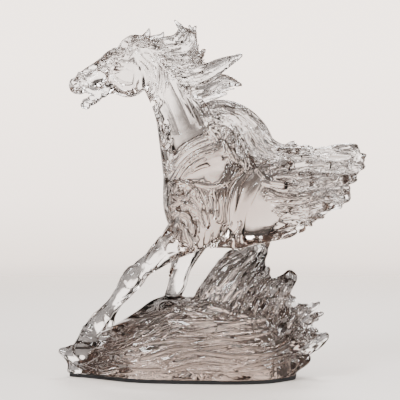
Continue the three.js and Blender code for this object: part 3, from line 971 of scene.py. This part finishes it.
def pad_material():
    """Black felt: matt, with a fine speckled nap."""
    material = bpy.data.materials.new("black_felt")
    material.use_nodes = True
    tree = material.node_tree
    shader = tree.nodes["Principled BSDF"]
    shader.inputs["Roughness"].default_value = 0.9
    nap = noise_texture(tree, scale=900, detail=4)
    bump_surface(tree, nap, strength=0.5, distance=0.0005)
    shade = add_node(tree, "ShaderNodeValToRGB")
    shade.color_ramp.elements[0].color = (0.004, 0.004, 0.0045, 1)
    shade.color_ramp.elements[1].color = (0.012, 0.012, 0.0125, 1)
    tree.links.new(nap, shade.inputs["Fac"])
    tree.links.new(shade.outputs["Color"], shader.inputs["Base Color"])
    return material


def camera():
    """The photograph's view: level, square on to the side, at the middle of the figure."""
    data = bpy.data.cameras.new("camera")
    data.sensor_width = 36
    data.lens = CAMERA_LENS
    view = bpy.data.objects.new("camera", data)
    view.location = CAMERA_PLACE
    view.rotation_euler = (math.radians(90), 0, 0)
    bpy.context.collection.objects.link(view)
    bpy.context.scene.camera = view


def area_light(name, place, aim, size, power):
    """A soft rectangular lamp that looks at a point."""
    data = bpy.data.lights.new(name, "AREA")
    data.energy = power
    data.shape = "RECTANGLE"
    data.size, data.size_y = size
    lamp = bpy.data.objects.new(name, data)
    lamp.location = place
    lamp.rotation_euler = (Vector(aim) - Vector(place)).to_track_quat("-Z", "Y").to_euler()
    bpy.context.collection.objects.link(lamp)


def math_node(tree, operation, *values):
    """The output of one arithmetic node on numbers and other nodes' outputs."""
    node = add_node(tree, "ShaderNodeMath", operation=operation)
    for socket, value in zip(node.inputs, values):
        if isinstance(value, (int, float)):
            socket.default_value = value
        else:
            tree.links.new(value, socket)
    return node.outputs["Value"]


def mix_colours(tree, first, second, factor=1.0, **values):
    """A mix of two colours, each a fixed colour or another node's output."""
    node = add_node(tree, "ShaderNodeMix", data_type="RGBA", **values)
    sockets = node.inputs["Factor"], node.inputs[6], node.inputs[7]
    for socket, value in zip(sockets, (factor, first, second)):
        if isinstance(value, (float, tuple)):
            socket.default_value = value
        else:
            tree.links.new(value, socket)
    return node.outputs[2]


def ramp(tree, factor, stops):
    """A grey colour ramp through (position, grey) stops."""
    node = add_node(tree, "ShaderNodeValToRGB")
    elements = node.color_ramp.elements
    while len(elements) < len(stops):
        elements.new(1.0)
    for element, (position, grey) in zip(elements, stops):
        element.position = position
        element.color = (grey, grey, grey, 1)
    tree.links.new(factor, node.inputs["Fac"])
    return node.outputs["Color"]


def floor():
    """A pale floor that fades into the backdrop away from the object."""
    bpy.ops.mesh.primitive_circle_add(vertices=96, radius=2.5, fill_type="NGON")
    disc = bpy.context.active_object
    disc.name = "floor"
    material = bpy.data.materials.new("paper")
    material.use_nodes = True
    tree = material.node_tree
    shader = tree.nodes["Principled BSDF"]
    shader.inputs["Roughness"].default_value = 0.6
    place = add_node(tree, "ShaderNodeTexCoord")
    length = add_node(tree, "ShaderNodeVectorMath", operation="LENGTH")
    fade = add_node(tree, "ShaderNodeMapRange", interpolation_type="SMOOTHSTEP")
    fade.inputs["From Min"].default_value = 0.35
    fade.inputs["From Max"].default_value = 2.3
    clear = add_node(tree, "ShaderNodeBsdfTransparent")
    mix = add_node(tree, "ShaderNodeMixShader")
    path = add_node(tree, "ShaderNodeLightPath")
    paper = mix_colours(tree, PAPER_OTHERWISE, PAPER_SEEN, path.outputs["Is Camera Ray"])
    link = tree.links.new
    link(paper, shader.inputs["Base Color"])
    link(place.outputs["Object"], length.inputs[0])
    link(length.outputs["Value"], fade.inputs["Value"])
    link(fade.outputs["Result"], mix.inputs["Fac"])
    link(shader.outputs["BSDF"], mix.inputs[1])
    link(clear.outputs["BSDF"], mix.inputs[2])
    link(mix.outputs["Shader"], tree.nodes["Material Output"].inputs["Surface"])
    disc.data.materials.append(material)


# Greys of the studio round the figure, as (position, grey) stops: the pale screens by
# direction and by height, with the dark flags between them, and the plain backdrop by height.
SCREENS = [(0.0, 0.6), (0.08, 0.25), (0.18, 0.01), (0.42, 0.01), (0.6, 1.0)]
BANDS = [(0.0, 0.06), (0.43, 0.3), (0.5, 1.0), (0.68, 1.05), (0.74, 0.05), (0.92, 0.05), (0.97, 1.5)]
BACKDROP = [(0.0, 0.4), (0.46, 0.55), (0.5, 0.85), (0.56, 1.0)]


def studio_world():
    """Pale all round. The glass also sees dark flags between the pale screens, which draw
    its edges, as in glass photography."""
    world = bpy.data.worlds.new("studio")
    world.use_nodes = True
    tree = world.node_tree
    link = tree.links.new
    place = add_node(tree, "ShaderNodeTexCoord")
    split = add_node(tree, "ShaderNodeSeparateXYZ")
    link(place.outputs["Generated"], split.inputs["Vector"])
    turn = math_node(tree, "ARCTAN2", split.outputs["Y"], split.outputs["X"])
    swing = math_node(tree, "COSINE", math_node(tree, "MULTIPLY", turn, 4.0))
    share = math_node(tree, "MULTIPLY_ADD", swing, 0.5, 0.5)
    screens = ramp(tree, share, SCREENS)
    height = math_node(tree, "MULTIPLY_ADD", split.outputs["Z"], 0.5, 0.5)
    glass_view = mix_colours(tree, screens, ramp(tree, height, BANDS), blend_type="MULTIPLY")
    glass_view = mix_colours(tree, glass_view, SCREEN_TINT, blend_type="MULTIPLY")
    shown = mix_colours(tree, ramp(tree, height, BACKDROP), BACKDROP_TINT, blend_type="MULTIPLY")
    path = add_node(tree, "ShaderNodeLightPath")
    final = mix_colours(tree, glass_view, shown, path.outputs["Is Camera Ray"])
    link(final, tree.nodes["Background"].inputs["Color"])
    tree.nodes["Background"].inputs["Strength"].default_value = STUDIO_LIGHT
    bpy.context.scene.world = world


def studio():
    """Floor, three soft lamps and the world."""
    floor()
    area_light("key", (-1.1, -1.2, 1.3), (0, 0, 0.18), (0.7, 0.7), 50)
    area_light("fill", (1.4, -0.9, 0.8), (0, 0, 0.18), (0.4, 0.9), 25)
    area_light("back", (0.3, 1.2, 1.4), (0, 0, 0.2), (0.9, 0.4), 35)
    studio_world()


camera()
studio()
horse = build_casting()
horse.data.materials.clear()
horse.data.materials.append(crystal_material())
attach(horse, "root")
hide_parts("horse_on_wave")

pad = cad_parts["base_pad"]
pad.data.materials.clear()
pad.data.materials.append(pad_material())

cycles = bpy.context.scene.cycles
cycles.max_bounces = 24
cycles.transmission_bounces = 24
cycles.glossy_bounces = 8
